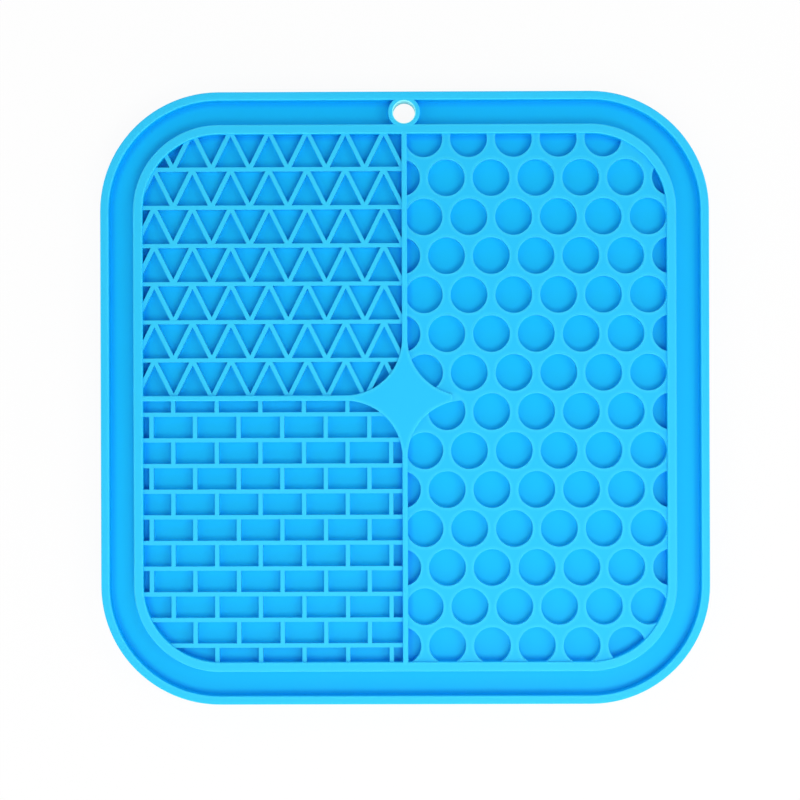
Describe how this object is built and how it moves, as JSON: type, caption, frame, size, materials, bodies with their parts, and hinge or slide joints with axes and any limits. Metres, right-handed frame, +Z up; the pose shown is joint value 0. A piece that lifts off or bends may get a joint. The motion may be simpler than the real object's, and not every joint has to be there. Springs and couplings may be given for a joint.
{
  "type": "lick mat",
  "caption": "Square silicone lick mat with a rimmed spill channel, a hanging hole, zigzag, brick and round-well feeding textures round a centre star, and suction cups below.",
  "frame": {"origin": "on the ground below the middle of the mat, in the plane that the suction cups stand on", "axes": "+Z up out of the feeding side, +Y towards the hanging hole, +X towards the half with the wells"},
  "size_m": [0.2, 0.2012, 0.0095],
  "materials": {
    "silicone": "bright azure moulded silicone, satin, slightly translucent"
  },
  "bodies": {
    "root": {"base_sheet": "silicone", "outer_rim_sides": "silicone", "outer_rim_corners": "silicone", "inner_rim_sides": "silicone", "inner_rim_corners": "silicone", "hanging_eyelet": "silicone", "upper_divider": "silicone", "lower_divider": "silicone", "left_divider": "silicone", "centre_star": "silicone", "zigzag_rails": "silicone", "rising_struts": "silicone", "falling_struts": "silicone", "brick_courses": "silicone", "brick_uprights": "silicone", "well_plate": "silicone", "suction_cups": "silicone"}
  },
  "joints": []
}
